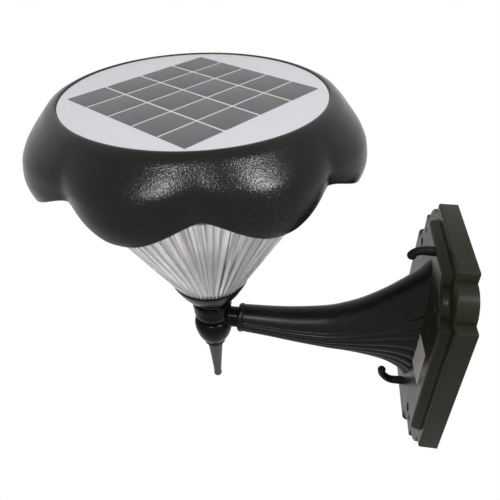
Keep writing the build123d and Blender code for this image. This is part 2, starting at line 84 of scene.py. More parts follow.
LAMP = Vector((middle("stem").x, middle("stem").y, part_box("panel_film")[1].z))
PLATE_FACE = -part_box("wall_plate")[0].y
print("lamp axis and panel top:", [round(v, 4) for v in LAMP], "plate depth:", round(PLATE_FACE, 4))

# %% [markdown]
# ## The camera
#
# The picture was taken from above and from the side, quite close. The camera's place and its three turns were found
# from the round panel, the plate's corners and the lamp's axis. A lens of 36 mm on a 36 mm wide sensor gives the
# same view. Blender's camera looks along its own -Z, so its three axes are written straight into a matrix.

# %% Set the camera
CAMERA_PLACE = Vector((251.8, -86.8, 244.3)) * MM
CAMERA_AZIMUTH = math.radians(99.4)
CAMERA_DOWN = math.radians(37.0)
CAMERA_ROLL = math.radians(-1.1)
CAMERA_LENS = 35.96
SENSOR = 36.0


def camera_matrix():
    """Camera axes from azimuth, downward tilt and roll."""
    side = Vector((math.cos(CAMERA_AZIMUTH), math.sin(CAMERA_AZIMUTH), 0))
    back = Vector((
        math.sin(CAMERA_AZIMUTH) * math.cos(CAMERA_DOWN),
        -math.cos(CAMERA_AZIMUTH) * math.cos(CAMERA_DOWN),
        math.sin(CAMERA_DOWN),
    ))
    up = back.cross(side)
    right = side * math.cos(CAMERA_ROLL) + up * math.sin(CAMERA_ROLL)
    top = up * math.cos(CAMERA_ROLL) - side * math.sin(CAMERA_ROLL)
    return Matrix.Translation(CAMERA_PLACE) @ Matrix((right, top, back)).transposed().to_4x4()


camera = bpy.data.objects.new("camera", bpy.data.cameras.new("camera"))
bpy.context.scene.collection.objects.link(camera)
camera.matrix_world = camera_matrix()
camera.data.lens = CAMERA_LENS
camera.data.sensor_width = SENSOR
camera.data.sensor_fit = "HORIZONTAL"
camera.data.clip_start = 0.005
bpy.context.scene.camera = camera
bpy.context.scene.view_settings.view_transform = "Standard"
print("camera looks from", [round(v, 3) for v in CAMERA_PLACE])

# %% [markdown]
# ## Shader groups
#
# Moulded plastic is never perfectly even. Three effects come back in many finishes here, so each is one node group:
# a fine grain left by the mould, soft smudges that change how glossy a surface is, and dust. A group hands out
# plain values, and each material feeds them into its own shader with its own strength. Node trees in code get long,
# so a few helpers come first: each makes one kind of node and returns the socket that the next node needs.

# %% Helpers for node trees
def new_group(name, inputs, outputs):
    """Empty shader node group with named sockets."""
    group = bpy.data.node_groups.new(name, "ShaderNodeTree")
    for label, kind, value in inputs:
        socket = group.interface.new_socket(label, in_out="INPUT", socket_type=kind)
        socket.default_value = value
    for label, kind in outputs:
        group.interface.new_socket(label, in_out="OUTPUT", socket_type=kind)
    return group, group.nodes.new("NodeGroupInput"), group.nodes.new("NodeGroupOutput")


def object_coordinates(tree):
    return tree.nodes.new("ShaderNodeTexCoord").outputs["Object"]


def noise(tree, scale, detail=2.0, roughness=0.5):
    node = tree.nodes.new("ShaderNodeTexNoise")
    node.inputs["Scale"].default_value = scale
    node.inputs["Detail"].default_value = detail
    node.inputs["Roughness"].default_value = roughness
    tree.links.new(object_coordinates(tree), node.inputs["Vector"])
    return node


def spread(tree, value, low, high):
    """Map Range node that turns low to high into 0 to 1."""
    node = tree.nodes.new("ShaderNodeMapRange")
    node.inputs["From Min"].default_value = low
    node.inputs["From Max"].default_value = high
    tree.links.new(value, node.inputs["Value"])
    return node.outputs["Result"]


def feed(tree, socket, value):
    """Link a socket, or set a plain value."""
    if isinstance(value, bpy.types.NodeSocket):
        tree.links.new(value, socket)
    else:
        socket.default_value = value


def calculate(tree, operation, *values):
    """Math node."""
    node = tree.nodes.new("ShaderNodeMath")
    node.operation = operation
    for socket, value in zip(node.inputs, values):
        feed(tree, socket, value)
    return node.outputs[0]


def blend(tree, factor, first, second):
    """Colour that goes from the first to the second as the factor goes from 0 to 1."""
    node = tree.nodes.new("ShaderNodeMix")
    node.data_type = "RGBA"
    for label, value in (("Factor", factor), ("A", first), ("B", second)):
        feed(tree, node.inputs[label], value)
    return node.outputs["Result"]


# %% The mould's grain, as a height
GRAINS_PER_METRE = 1400.0
CELL_SHARE = 0.6


def make_grain_group():
    group, given, result = new_group(
        "mould_grain", [("Grains per metre", "NodeSocketFloat", GRAINS_PER_METRE)], [("Height", "NodeSocketFloat")]
    )
    coarse = noise(group, GRAINS_PER_METRE, 1.0)
    cells = group.nodes.new("ShaderNodeTexVoronoi")
    cells.feature = "SMOOTH_F1"
    group.links.new(object_coordinates(group), cells.inputs["Vector"])
    for texture in (coarse, cells):
        group.links.new(given.outputs["Grains per metre"], texture.inputs["Scale"])
    height = calculate(group, "MULTIPLY_ADD", cells.outputs["Distance"], CELL_SHARE, coarse.outputs["Fac"])
    group.links.new(height, result.inputs["Height"])
    return group


GRAIN = make_grain_group()


# %% Smudges, as a roughness
def make_smudge_group():
    group, given, result = new_group(
        "smudges",
        [("Roughness", "NodeSocketFloat", 0.4), ("Change", "NodeSocketFloat", 0.1)],
        [("Roughness", "NodeSocketFloat")],
    )
    patches = noise(group, 38.0, 4.0, 0.6)
    mask = spread(group, patches.outputs["Fac"], 0.35, 0.7)
    rough = calculate(group, "MULTIPLY_ADD", mask, given.outputs["Change"], given.outputs["Roughness"])
    group.links.new(rough, result.inputs["Roughness"])
    return group


SMUDGES = make_smudge_group()


# %% Dust in random specks and patches, as a mask
def make_dust_group():
    group, given, result = new_group(
        "dust", [("Amount", "NodeSocketFloat", 0.2)], [("Mask", "NodeSocketFloat")]
    )
    specks = noise(group, 900.0, 3.0, 0.7)
    patches = noise(group, 30.0, 3.0, 0.6)
    fine = spread(group, specks.outputs["Fac"], 0.52, 0.75)
    broad = spread(group, patches.outputs["Fac"], 0.4, 0.75)
    both = calculate(group, "MULTIPLY", fine, broad)
    group.links.new(calculate(group, "MULTIPLY", both, given.outputs["Amount"]), result.inputs["Mask"])
    return group


DUST = make_dust_group()
print("node groups:", [g.name for g in bpy.data.node_groups])


# %% [markdown]
# ## Plastic finishes
#
# One function makes every plastic: a base colour with a little dust mixed in, a roughness with smudges, and a bump
# from the grain. The cap has a coarse leathery grain that breaks its highlights into sparkles, the arm is smoother,
# and the hub and the cup are almost polished. The plate is a slightly olive black, and the finial is duller; both
# are paler than the other blacks, and that extra paleness is painted light, for the light their faces catch. In a
# white room even black plastic turns grey, because it mirrors the walls, so `shine` is set low for the blacks.

# %% A plastic
GRAIN_HEIGHT = 0.1 * MM


def place_group(tree, group, **values):
    node = tree.nodes.new("ShaderNodeGroup")
    node.node_tree = group
    for label, value in values.items():
        node.inputs[label.replace("_", " ")].default_value = value
    return node


def new_material(name):
    material = bpy.data.materials.new(name)
    material.use_nodes = True
    return material, material.node_tree, material.node_tree.nodes["Principled BSDF"]


def smudged(tree, shader, roughness, change):
    """Roughness with smudges."""
    smudge = place_group(tree, SMUDGES, Roughness=roughness, Change=change)
    tree.links.new(smudge.outputs["Roughness"], shader.inputs["Roughness"])


def grained(tree, shader, grains, strength):
    """Relief from the mould's grain."""
    grain = place_group(tree, GRAIN, Grains_per_metre=grains)
    relief = tree.nodes.new("ShaderNodeBump")
    relief.inputs["Strength"].default_value = strength
    relief.inputs["Distance"].default_value = GRAIN_HEIGHT
    tree.links.new(grain.outputs["Height"], relief.inputs["Height"])
    tree.links.new(relief.outputs["Normal"], shader.inputs["Normal"])


def plastic(name, colour, roughness, change, grains, bump, dust, shine=0.5, dust_colour=(0.3, 0.29, 0.26)):
    """Moulded plastic: colour, gloss, grain and dust."""
    material, tree, shader = new_material(name)
    shader.inputs["Specular IOR Level"].default_value = shine
    mask = place_group(tree, DUST, Amount=dust).outputs["Mask"]
    tree.links.new(blend(tree, mask, (*colour, 1), (*dust_colour, 1)), shader.inputs["Base Color"])
    smudged(tree, shader, roughness, change)
    grained(tree, shader, grains, bump)
    return material


# %% The plastics of this lamp
BLACK = (0.0034, 0.0036, 0.0026)
# name, colour, roughness, its change, grains per metre, bump, dust, shine, colour of the dust
CAP_BLACK = plastic("textured_black", BLACK, 0.2, 0.06, 1500.0, 1.0, 0.15, 0.19)
# The olive is the plate's own tone; its colour is also paler than the other blacks, as painted light on its faces.
PLATE_BLACK_WITH_PAINTED_LIGHT = plastic("olive_black_with_painted_light", (0.018, 0.0175, 0.0115), 0.26, 0.1, 2400.0, 0.1, 0.15, 0.08)
SATIN_BLACK = plastic("satin_black", BLACK, 0.27, 0.1, 2400.0, 0.1, 0.1, 0.13)
GLOSS_BLACK = plastic("gloss_black", (0.003, 0.0032, 0.003), 0.15, 0.1, 2400.0, 0.05, 0.04, 0.05)
# The finial's colour is paler than the other blacks: painted light, for the light it catches.
DULL_BLACK_WITH_PAINTED_LIGHT = plastic("dull_black_with_painted_light", (0.05, 0.05, 0.046), 0.36, 0.1, 2000.0, 0.15, 0.15, 0.2)
MATTE_BLACK = plastic("matte_black", (0.004, 0.004, 0.004), 0.5, 0.1, 1800.0, 0.3, 0.05, 0.1)
RUBBER = plastic("rubber_black", (0.006, 0.006, 0.006), 0.65, 0.1, 2000.0, 0.3, 0.1, 0.3)
NYLON = plastic("nylon", (0.72, 0.7, 0.64), 0.4, 0.1, 2000.0, 0.1, 0.05)
CHIP = plastic("chip_black", (0.02, 0.02, 0.022), 0.45, 0.1, 3000.0, 0.1, 0.05)
BOARD_GREEN = plastic("green_board", (0.02, 0.13, 0.05), 0.3, 0.1, 3000.0, 0.05, 0.05)
BOARD_WHITE = plastic("white_board", (0.8, 0.8, 0.78), 0.35, 0.1, 3000.0, 0.05, 0.03)
WRAP = plastic("battery_wrap", (0.05, 0.16, 0.36), 0.25, 0.1, 3000.0, 0.05, 0.03)
PHOSPHOR = plastic("led_phosphor", (0.85, 0.68, 0.3), 0.4, 0.05, 3000.0, 0.05, 0.0)
SHEET_WHITE = plastic("white_sheet", (0.55, 0.545, 0.575), 0.4, 0.06, 3000.0, 0.03, 0.05, 0.2, (0.5, 0.49, 0.47))
PAPER = plastic("label_paper", (0.5, 0.46, 0.41), 0.6, 0.1, 2600.0, 0.2, 0.15, 0.3, (0.3, 0.27, 0.23))
print("plastics:", len(bpy.data.materials))


# %% [markdown]
# ## Metal, glass and cells
#
# The screws are zinc plated steel. The lens is clear acrylic: what makes it look white is the light that its ribs
# catch and bend, so it is a glass shader whose colour carries painted streaks of light and shade, bright, dim and
# warm, that run down the cone. The painted streaks follow the angle round the lamp's axis, so they get narrower
# towards the cup, as the ribs do. The film over the cells is so thin that it bends nothing: a faint haze with a gloss
# stands for it. The solar cells are grey silicon crossed by hair-thin silver lines that are too fine to see one by
# one but make the cells paler than bare silicon.

# %% Metal
def metal(name, colour, roughness):
    material, tree, shader = new_material(name)
    shader.inputs["Metallic"].default_value = 1.0
    shader.inputs["Base Color"].default_value = (*colour, 1)
    smudged(tree, shader, roughness, 0.15)
    grained(tree, shader, 4000.0, 0.08)
    return material


STEEL = metal("zinc_steel", (0.62, 0.63, 0.64), 0.3)
TINNED = metal("tinned_copper", (0.7, 0.68, 0.62), 0.35)


# %% Painted streaks of light and shade that run down the cone, as masks
PAINTED_STREAK_RISE = 6.0
# output, scale of its noise, and the noise values that become 0 and 1
PAINTED_STREAK_MASKS = [("Mask", 0.62, 0.4, 0.5), ("Broad", 0.2, 0.52, 0.6)]


def make_painted_rib_light_group():
    """Painted light and shade: each streak stands for another part of the surroundings that a rib bends into view."""
    group, given, result = new_group(
        "painted_rib_light", [("Streaks", "NodeSocketFloat", 64.0)],
        [("Mask", "NodeSocketFloat"), ("Broad", "NodeSocketFloat")],
    )
    shift = group.nodes.new("ShaderNodeVectorMath")
    shift.operation = "SUBTRACT"
    shift.inputs[1].default_value = LAMP
    group.links.new(object_coordinates(group), shift.inputs[0])
    parts = group.nodes.new("ShaderNodeSeparateXYZ")
    group.links.new(shift.outputs[0], parts.inputs[0])
    turn = calculate(group, "ARCTAN2", parts.outputs["Y"], parts.outputs["X"])
    place = group.nodes.new("ShaderNodeCombineXYZ")
    group.links.new(calculate(group, "MULTIPLY", turn, given.outputs["Streaks"]), place.inputs["X"])
    group.links.new(calculate(group, "MULTIPLY", parts.outputs["Z"], PAINTED_STREAK_RISE), place.inputs["Y"])
    for label, scale, low, high in PAINTED_STREAK_MASKS:
        wave = group.nodes.new("ShaderNodeTexNoise")
        wave.inputs["Scale"].default_value = scale
        wave.inputs["Detail"].default_value = 1.0
        group.links.new(place.outputs[0], wave.inputs["Vector"])
        group.links.new(spread(group, wave.outputs["Fac"], low, high), result.inputs[label])
    return group


PAINTED_RIB_LIGHT = make_painted_rib_light_group()


# %% Clear plastic
ACRYLIC_IOR = 1.49
PAINTED_WARM_SHARE = 0.45


def ribbed_clear(name, bright, dim, warm_light, roughness):
    """Clear ribbed acrylic, with painted streaks of bright, dim and warm light running down the cone in its colour.
    """
    material, tree, shader = new_material(name)
    streaks = place_group(tree, PAINTED_RIB_LIGHT)
    cool = blend(tree, streaks.outputs["Mask"], (*dim, 1), (*bright, 1))
    warm = calculate(tree, "MULTIPLY", streaks.outputs["Broad"], PAINTED_WARM_SHARE)
    tree.links.new(blend(tree, warm, cool, (*warm_light, 1)), shader.inputs["Base Color"])
    shader.inputs["Transmission Weight"].default_value = 0.85
    shader.inputs["IOR"].default_value = ACRYLIC_IOR
    smudged(tree, shader, roughness, 0.08)
    return material


def thin_film(name, colour, roughness, alpha):
    """Thin clear film. Its alpha is the little haze that it adds to what shows through."""
    material, tree, shader = new_material(name)
    shader.inputs["Base Color"].default_value = (*colour, 1)
    shader.inputs["Alpha"].default_value = alpha
    smudged(tree, shader, roughness, 0.06)
    return material


# The bright, dim and warm colours are painted light and shade from the ribs; the acrylic itself is clear.
LENS_CLEAR = ribbed_clear("clear_lens", (1.0, 1.0, 1.0), (0.3, 0.29, 0.285), (0.8, 0.71, 0.68), 0.1)
FILM_CLEAR = thin_film("clear_film", (0.6, 0.6, 0.62), 0.08, 0.05)


# %% Solar cells
DARK_CELL = (0.04, 0.041, 0.046, 1)
PALE_CELL = (0.062, 0.064, 0.069, 1)


def silicon():
    """Grey silicon, a little uneven from cell to cell."""
    material, tree, shader = new_material("silicon")
    shader.inputs["Specular IOR Level"].default_value = 0.25
    patches = noise(tree, 60.0, 4.0)
    tree.links.new(blend(tree, patches.outputs["Fac"], DARK_CELL, PALE_CELL), shader.inputs["Base Color"])
    smudged(tree, shader, 0.45, 0.08)
    return material


SILICON = silicon()
print("materials:", len(bpy.data.materials))

# %% [markdown]
# ## Finishes on the pieces that keep their engineering mesh
#
# Most small and inner pieces already have the right shape, so they only get a material. A table from node to finish
# keeps that in one place. The nodes that a new piece stands in for further down are in it too, so none is left bare.

# %% Finish every node
FINISH = {
    "wall_plate": SATIN_BLACK, "scroll_hook_top": MATTE_BLACK, "scroll_hook_bottom": MATTE_BLACK, "arm": SATIN_BLACK,
    "arm_screws": STEEL, "hub": GLOSS_BLACK, "finial_washer": RUBBER, "finial": DULL_BLACK_WITH_PAINTED_LIGHT, "head_washer": NYLON,
    "stem": STEEL, "stem_nut": STEEL, "lens_cup": GLOSS_BLACK, "lens": LENS_CLEAR, "lens_seal": RUBBER,
    "lens_screws": STEEL, "shade_cap": CAP_BLACK, "tray": MATTE_BLACK, "tray_screws": STEEL,
    "panel_board": SHEET_WHITE, "panel_film": FILM_CLEAR, "solar_cells": SILICON, "cell_ribbons": TINNED,
    "panel_gasket": RUBBER, "battery_holder": MATTE_BLACK, "battery": WRAP, "battery_contacts": STEEL,
    "control_board": BOARD_GREEN, "board_parts": CHIP, "board_screws": STEEL, "led_board": BOARD_WHITE,
    "leds": PHOSPHOR, "led_screws": STEEL, "switch_bracket": MATTE_BLACK, "push_switch": CHIP,
    "switch_plunger": NYLON, "power_button": RUBBER,
}
SMOOTH_UNDER = math.radians(32)


def finish(piece, material):
    piece.data.materials.clear()
    piece.data.materials.append(material)


def smooth(piece, angle=SMOOTH_UNDER):
    """Rounded shading, with edges sharper than the angle kept."""
    piece.data.shade_smooth()
    piece.data.set_sharp_from_angle(angle=angle)


for name, material in FINISH.items():
    finish(nodes[name], material)
    smooth(nodes[name])
print("nodes with a finish:", len(FINISH))

# %% [markdown]
# ## Mesh helpers
#
# Nearly every moulded form on this lamp is a grid of points: rings of points, one after the other, that are either
# closed or open. One helper turns such a grid into a mesh, and another runs a smooth curve through a few given
# values.

# %% Grids and smooth curves
def smooth_value(table, x):
    """Cubic curve through (x, y) pairs, without overshoot between equal values."""
    if x <= table[0][0]:
        return table[0][1]
    if x >= table[-1][0]:
        return table[-1][1]
    k = max(i for i in range(len(table) - 1) if table[i][0] <= x)
    (x0, y0), (x1, y1) = table[k], table[k + 1]
    slope = (y1 - y0) / (x1 - x0)

    def tangent(i):
        if i in (0, len(table) - 1):
            return slope
        before = (table[i][1] - table[i - 1][1]) / (table[i][0] - table[i - 1][0])
        after = (table[i + 1][1] - table[i][1]) / (table[i + 1][0] - table[i][0])
        return 0.0 if before * after <= 0 else 2 * before * after / (before + after)

    t = (x - x0) / (x1 - x0)
    run = x1 - x0
    m0, m1 = tangent(k) * run, tangent(k + 1) * run
    return (
        y0 * (2 * t ** 3 - 3 * t ** 2 + 1) + m0 * (t ** 3 - 2 * t ** 2 + t)
        + y1 * (3 * t ** 2 - 2 * t ** 3) + m1 * (t ** 3 - t ** 2)
    )


def grid_object(name, rows, closed_rows=False, cap_ends=False):
    """Mesh from rows of points; every row is a closed ring."""
    count = len(rows[0])
    points = [p for row in rows for p in row]
    faces = []
    last = len(rows) if closed_rows else len(rows) - 1
    for i in range(last):
        a, b = i * count, ((i + 1) % len(rows)) * count
        for j in range(count):
            k = (j + 1) % count
            faces.append((a + j, a + k, b + k, b + j))
    if cap_ends:
        faces.append(tuple(reversed(range(count))))
        faces.append(tuple((len(rows) - 1) * count + j for j in range(count)))
    mesh = bpy.data.meshes.new(name)
    mesh.from_pydata([tuple(p) for p in points], [], faces)
    mesh.validate()
    made = bmesh.new()
    made.from_mesh(mesh)
    bmesh.ops.recalc_face_normals(made, faces=made.faces)
    made.to_mesh(mesh)
    made.free()
    piece = bpy.data.objects.new(name, mesh)
    bpy.context.scene.collection.objects.link(piece)
    return piece


def finished(piece, material, body, node, angle=SMOOTH_UNDER):
    """Shade, finish and hand a new piece to the frame in place of a node."""
    finish(piece, material)
    smooth(piece, angle)
    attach(piece, body)
    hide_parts(node)
    print(piece.name, "faces:", len(piece.data.polygons))


# %% [markdown]
# ## The petal cap
#
# The cap is one moulding with eight petals. From above its outline is a wavy circle whose waves grow from nothing
# at the rim to about 8 mm at the edge. Its lower edge hangs low in the middle of each petal and rises in the
# valleys. A closed grid follows the section of the wall all the way round: rim, outside, rounded lip, inside, ledge
# and back to the rim.

# %% Sizes of the cap
PETALS = 8
VALLEY_ANGLE = math.radians(14.07)
CAP_WALL = 2.2
RIM_INNER = 70.3
RIM_OUTER = 71.7
LEDGE_INNER = 59.5
LEDGE_TOP = -3.4
LEDGE_UNDER = -7.2
VALLEY_EDGE = -27.1
PETAL_EDGE = -37.4
# height below the panel against radius in the middle of a petal, and against the depth of the valley beside it
PETAL_RADIUS = [(-39.5, 86.6), (-35.0, 91.4), (-28.0, 92.5), (-20.0, 91.3), (-14.0, 88.2), (-9.0, 83.6), (-5.0, 79.4),
                (-2.0, 76.0), (-0.9, 74.0), (-0.3, 72.6), (0.0, 71.5)]
VALLEY_DEPTH = [(-39.5, 8.0), (-35.0, 7.9), (-28.0, 7.6), (-20.0, 5.6), (-14.0, 3.6), (-9.0, 1.8), (-5.0, 1.0),
                (-2.0, 0.5), (0.0, 0.0)]
SOFT_VALLEY = 0.1
EDGE_SHARPNESS = 0.94


def lobe(angle):
    """0 in a valley, 1 in the middle of a petal."""
    wave = math.sin((angle - VALLEY_ANGLE) * PETALS / 2)
    soft = SOFT_VALLEY
    return (math.sqrt(wave * wave + soft * soft) - soft) / (math.sqrt(1 + soft * soft) - soft)


def edge_height(angle):
    """Lower edge of the cap."""
    turn = (angle - VALLEY_ANGLE) * PETALS / (2 * math.pi)
    away = 2 * abs(turn - round(turn))
    step = away ** EDGE_SHARPNESS
    return VALLEY_EDGE + (PETAL_EDGE - VALLEY_EDGE) * step * step * (3 - 2 * step)


def cap_radius(angle, height):
    return smooth_value(PETAL_RADIUS, height) - smooth_value(VALLEY_DEPTH, height) * (1 - lobe(angle))


# %% Build the cap
CAP_COLUMNS = PETALS * 36
CAP_ROWS = 44
ROW_CROWDING = 1.6
LIP_STEPS = 8
RIM_EDGE = 0.25
RIM_FLAT = RIM_OUTER - 0.4
SKIRT_RADIUS = RIM_INNER + 2.0
SKIRT_TOP = -2.8
INSIDE_TOP = -2.6


def cap_section(angle):
    """Points (radius, height) of the wall's section at one angle, in millimetres."""
    low = edge_height(angle)
    half = CAP_WALL / 2
    points = [(RIM_INNER, -RIM_EDGE), (RIM_INNER + RIM_EDGE, 0.0), (RIM_FLAT, 0.0)]
    for i in range(CAP_ROWS):
        height = (low + half) * (i / (CAP_ROWS - 1)) ** ROW_CROWDING
        points.append((cap_radius(angle, height), height))
    middle_radius = cap_radius(angle, low + half) - half
    for i in range(1, LIP_STEPS):
        turn = math.pi * i / LIP_STEPS
        points.append((middle_radius + half * math.cos(turn), low + half * (1 - math.sin(turn))))
    inside_rows = CAP_ROWS // 2
    for i in range(inside_rows):
        height = low + half + (INSIDE_TOP - low - half) * i / (inside_rows - 1)
        points.append((cap_radius(angle, height) - CAP_WALL, height))
    return points + [
        (SKIRT_RADIUS, SKIRT_TOP), (SKIRT_RADIUS, LEDGE_UNDER), (LEDGE_INNER, LEDGE_UNDER), (LEDGE_INNER, LEDGE_TOP),
        (RIM_INNER, LEDGE_TOP),
    ]


def lamp_point(radius, height, angle):
    return LAMP + Vector((radius * math.cos(angle), radius * math.sin(angle), height)) * MM


def cap_rows():
    angles = [VALLEY_ANGLE + 2 * math.pi * k / CAP_COLUMNS for k in range(CAP_COLUMNS)]
    sections = [cap_section(a) for a in angles]
    return [[lamp_point(*sections[k][i], angles[k]) for k in range(CAP_COLUMNS)] for i in range(len(sections[0]))]


finished(
    grid_object("petal_cap", cap_rows(), closed_rows=True), CAP_BLACK, "head", "shade_cap",
    math.radians(50),
)

# %% [markdown]
# ## The ribbed lens
#
# The lens is a clear cone with ribs down its outside, folded as sharply as pleated paper. Each fold bends the light
# another way, which gives the cone its streaks. Its inner face is smooth. The ribs are real geometry, because bump
# alone can't bend light through a wall. The grid starts at the flange that the cap holds and ends at the neck in
# the cup.

# %% Sizes of the lens
RIBS = 64
RIB_DEPTH = 1.5
RIB_CREST = 0.12
FADE_OF_RIBS = 0.5
LENS_WALL = 2.0
FOLD_ALLOWANCE = 0.7
LENS_TOP = -28.0
LENS_FLANGE = 2.5
LENS_TOP_RADIUS = 80.6
LENS_FLANGE_INNER = 69.6
LENS_BOTTOM = -124.2
LENS_BOTTOM_RADIUS = 25.7
LENS_NECK_RADIUS = 22.0
LENS_NECK = 4.0
NECK_WALL = 1.8
LENS_FLOOR = 1.5
CONE_INSET = 0.4
RIB_POINTS = 6
LENS_ROWS = 14


def ribbed_radius(radius, angle, depth):
    """Sharp folds, as of pleated paper, with slightly worn crests."""
    turn = angle * RIBS / (2 * math.pi)
    away = 2 * abs(turn - round(turn))
    return radius - depth * max(away, RIB_CREST)


# %% Build the lens
def lens_rows():
    columns = RIBS * RIB_POINTS
    angles = [2 * math.pi * k / columns for k in range(columns)]
    top = LENS_TOP - LENS_FLANGE
    rows = []
    for radius, height in ((LENS_FLANGE_INNER, top), (LENS_FLANGE_INNER, LENS_TOP), (LENS_TOP_RADIUS, LENS_TOP)):
        rows.append([lamp_point(radius, height, a) for a in angles])
    rows.append([lamp_point(LENS_TOP_RADIUS, top, a) for a in angles])
    for i in range(LENS_ROWS):
        share = i / (LENS_ROWS - 1)
        height = top + (LENS_BOTTOM - top) * share
        radius = LENS_TOP_RADIUS - CONE_INSET + (LENS_BOTTOM_RADIUS - LENS_TOP_RADIUS + CONE_INSET) * share
        depth = RIB_DEPTH * (1 - FADE_OF_RIBS * share)
        rows.append([lamp_point(ribbed_radius(radius, a, depth), height, a) for a in angles])
    neck_inner = LENS_NECK_RADIUS - NECK_WALL
    for radius, height in (
        (LENS_NECK_RADIUS, LENS_BOTTOM), (LENS_NECK_RADIUS, LENS_BOTTOM - LENS_NECK),
        (neck_inner, LENS_BOTTOM - LENS_NECK), (neck_inner, LENS_BOTTOM + LENS_FLOOR),
    ):
        rows.append([lamp_point(radius, height, a) for a in angles])
    wall = LENS_WALL + FOLD_ALLOWANCE
    slope = (LENS_TOP_RADIUS - LENS_BOTTOM_RADIUS) / (top - LENS_BOTTOM)
    start = LENS_BOTTOM_RADIUS - wall + LENS_FLOOR * slope
    end = LENS_TOP_RADIUS - wall
    for i in range(LENS_ROWS):
        share = i / (LENS_ROWS - 1)
        height = LENS_BOTTOM + LENS_FLOOR + (top - LENS_BOTTOM - LENS_FLOOR) * share
        rows.append([lamp_point(start + (end - start) * share, height, a) for a in angles])
    return rows


finished(
    grid_object("ribbed_lens", lens_rows(), closed_rows=True), LENS_CLEAR, "head", "lens",
    math.radians(40),
)

# %% [markdown]
# ## The solar panel
#
# The panel is a white disc with twenty thin grey cells on it, in four columns of five. Between the columns runs a
# beige ribbon that joins the cells, and between the rows a thin white line shows. A clear film covers it all. The
# cells are real slabs a quarter of a millimetre thick. Seen from low down they would hide the sheet between them,
# so the white lines are slabs of their own, as high as the cells. The lines, the ribbons and the film lie a hair
# above one another: two faces at one height would flicker in the render.

# %% Sizes of the panel
PANEL_RADIUS = 70.0
PANEL_UNDER = -2.65
SHEET_TOP = -0.65
CELL_TOP = -0.42
FILM_UNDER = -0.36
ARRAY_ANGLE = math.radians(146.7)
ARRAY_MIDDLE = Vector((1.9, 0.2))
ARRAY_LENGTH = 94.8
ARRAY_WIDTH = 90.0
COLUMNS, ROWS = 4, 5
COLUMN_GAP = 1.0
ROW_GAP = 0.8
CELL_LONG = (ARRAY_LENGTH - COLUMN_GAP * (COLUMNS - 1)) / COLUMNS
CELL_WIDE = (ARRAY_WIDTH - ROW_GAP * (ROWS - 1)) / ROWS
TAB = (3.0, 2.6)
HAIR = 0.01
LINE_RISE = 0.012
RIBBON_RISE = 0.025


# %% Panel helpers
def turned_piece(name, profile, steps=192):
    """Closed piece of revolution about the lamp's axis, from (radius, height) pairs."""
    angles = [2 * math.pi * k / steps for k in range(steps)]
    return grid_object(name, [[lamp_point(r, z, a) for a in angles] for r, z in profile], cap_ends=True)


def slabs(name, boxes, low, high, corner=0.12):
    """Flat slabs on the panel, each given as middle u, v and size; their upper edges are a little worn."""
    mesh = bpy.data.meshes.new(name)
    made = bmesh.new()
    turn = Matrix.Rotation(ARRAY_ANGLE, 2)
    for u, v, length, width in boxes:
        rings = []
        for inset, height in ((0.0, low), (0.0, high - corner / 2), (corner, high)):
            ring = []
            for su, sv in ((-1, -1), (1, -1), (1, 1), (-1, 1)):
                place = ARRAY_MIDDLE + turn @ Vector((u + su * (length / 2 - inset), v + sv * (width / 2 - inset)))
                ring.append(made.verts.new(LAMP + Vector((place.x, place.y, height)) * MM))
            rings.append(ring)
        made.faces.new(reversed(rings[0]))
        made.faces.new(rings[-1])
        for below, above in zip(rings, rings[1:]):
            for k in range(4):
                made.faces.new((below[k], below[(k + 1) % 4], above[(k + 1) % 4], above[k]))
    made.to_mesh(mesh)
    made.free()
    piece = bpy.data.objects.new(name, mesh)
    bpy.context.scene.collection.objects.link(piece)
    return piece


# %% Build the panel
finished(
    turned_piece("panel_sheet", [
        (PANEL_RADIUS - 0.05, PANEL_UNDER), (PANEL_RADIUS - 0.05, SHEET_TOP - 0.1), (PANEL_RADIUS - 0.15, SHEET_TOP),
        (PANEL_RADIUS - 1.0, SHEET_TOP),
    ]), SHEET_WHITE, "head", "panel_board",
)
finished(
    turned_piece("panel_cover", [
        (PANEL_RADIUS - 0.6, FILM_UNDER), (PANEL_RADIUS - 0.4, FILM_UNDER), (PANEL_RADIUS - 0.4, -0.1),
        (PANEL_RADIUS - 0.55, 0.0), (PANEL_RADIUS - 1.5, 0.0),
    ]), FILM_CLEAR, "head", "panel_film",
)
column_step, row_step = CELL_LONG + COLUMN_GAP, CELL_WIDE + ROW_GAP
cell_boxes = [
    ((i - (COLUMNS - 1) / 2) * column_step, (j - (ROWS - 1) / 2) * row_step, CELL_LONG, CELL_WIDE)
    for i in range(COLUMNS) for j in range(ROWS)
]
finished(
    slabs("cell_slabs", cell_boxes, SHEET_TOP + HAIR, CELL_TOP), SILICON, "head", "solar_cells"
)
line_boxes = [(0.0, k * row_step, ARRAY_LENGTH - 0.3, ROW_GAP) for k in (-1.5, -0.5, 0.5, 1.5)]
lines = slabs("row_lines", line_boxes, SHEET_TOP + HAIR, CELL_TOP + LINE_RISE, 0.02)
finish(lines, SHEET_WHITE)
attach(lines, "head")
print("row lines:", len(line_boxes))
ribbon_boxes = [(k * column_step, 0.0, COLUMN_GAP - 0.04, ARRAY_WIDTH) for k in (-1, 0, 1)]
ribbon_boxes.append((-column_step, -(ARRAY_WIDTH + TAB[1]) / 2 - 0.1, *TAB))
finished(
    slabs("ribbon_strips", ribbon_boxes, SHEET_TOP + HAIR, CELL_TOP + RIBBON_RISE, 0.05), TINNED, "head",
    "cell_ribbons",
)

# %% [markdown]
# ## The reeded arm
#
# The arm is a horn that widens towards the wall. Its top is smooth, and its lower sides carry rows of convex reeds
# with thin grooves between them, which fade towards the thin end. A smooth keel runs along the bottom. It is one
# closed grid: each ring is an ellipse with the grooves cut into it, and the ring's size follows smooth curves along
# the arm. Every groove's bottom falls on a column of the grid, so it stays a crisp line.

# %% Sizes of the arm
PLATE_FRONT = 17.0
ARM_END = 133.2
